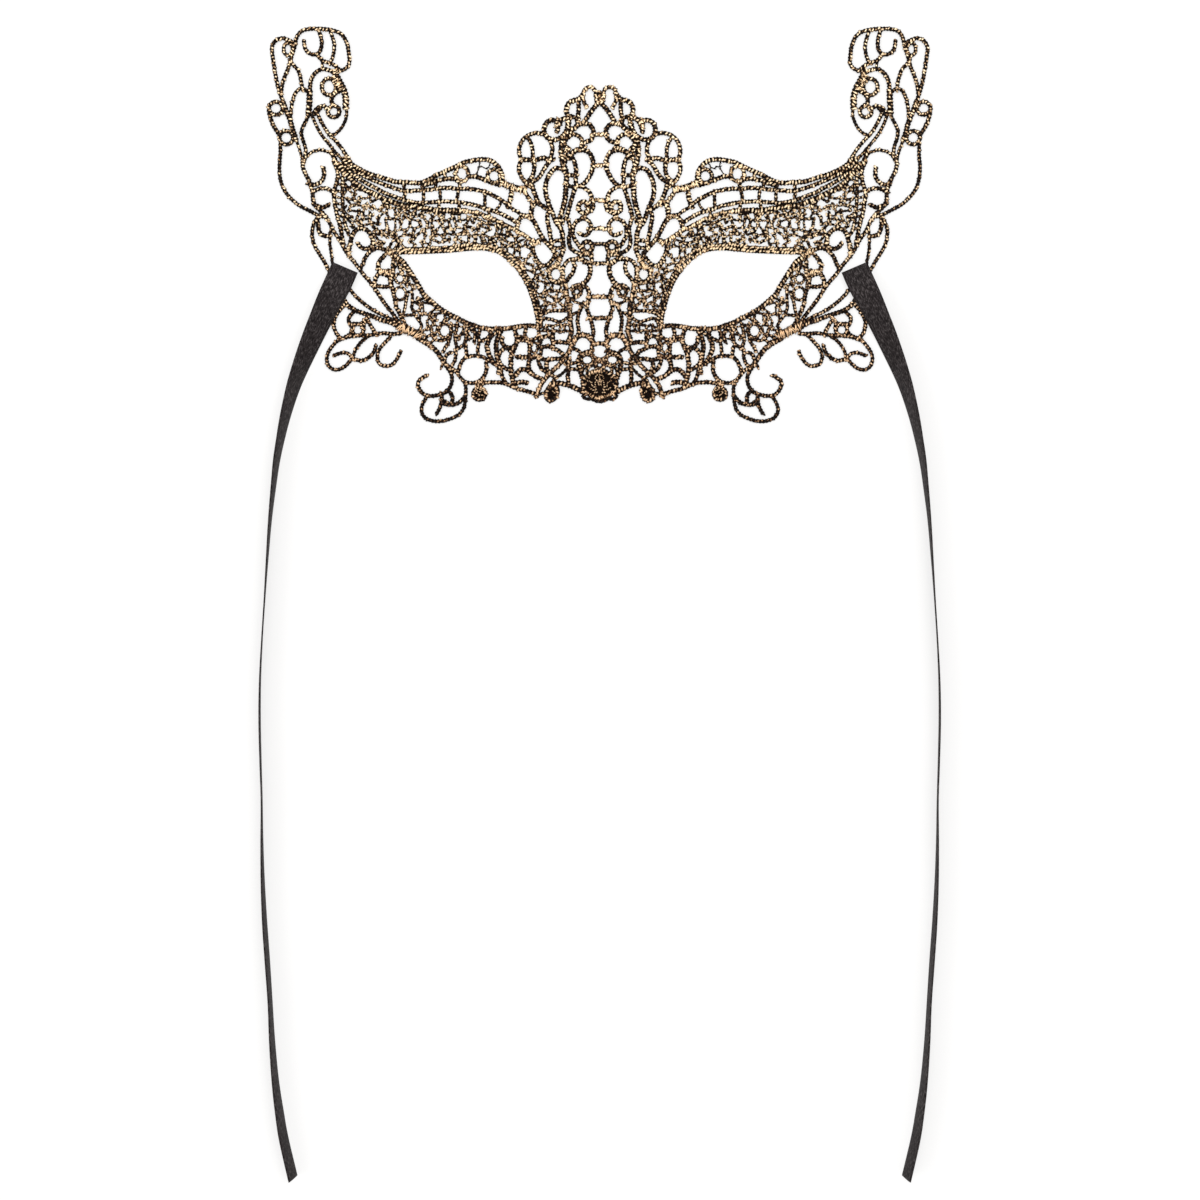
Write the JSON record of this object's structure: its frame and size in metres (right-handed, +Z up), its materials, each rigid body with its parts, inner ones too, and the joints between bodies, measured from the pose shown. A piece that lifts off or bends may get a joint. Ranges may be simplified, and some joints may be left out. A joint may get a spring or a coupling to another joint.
{
  "type": "lace masquerade mask",
  "caption": "Flat openwork lace eye mask with wing tips, a pointed crown and a nose panel, and a long satin ribbon sewn on at each temple for tying it on.",
  "frame": {"origin": "middle of the lace's underside, on the surface the mask lies on", "axes": "+X along the mask's width, towards the temple at the right of the view from above; +Y from the nose panel to the crown; +Z up, out of the mask's face"},
  "size_m": [0.2266, 0.3837, 0.0094],
  "materials": {
    "lace": "satin",
    "ribbon": "satin"
  },
  "bodies": {
    "root": {"lace": "lace", "ribbon_right": "ribbon", "ribbon_left": "ribbon"}
  },
  "joints": []
}
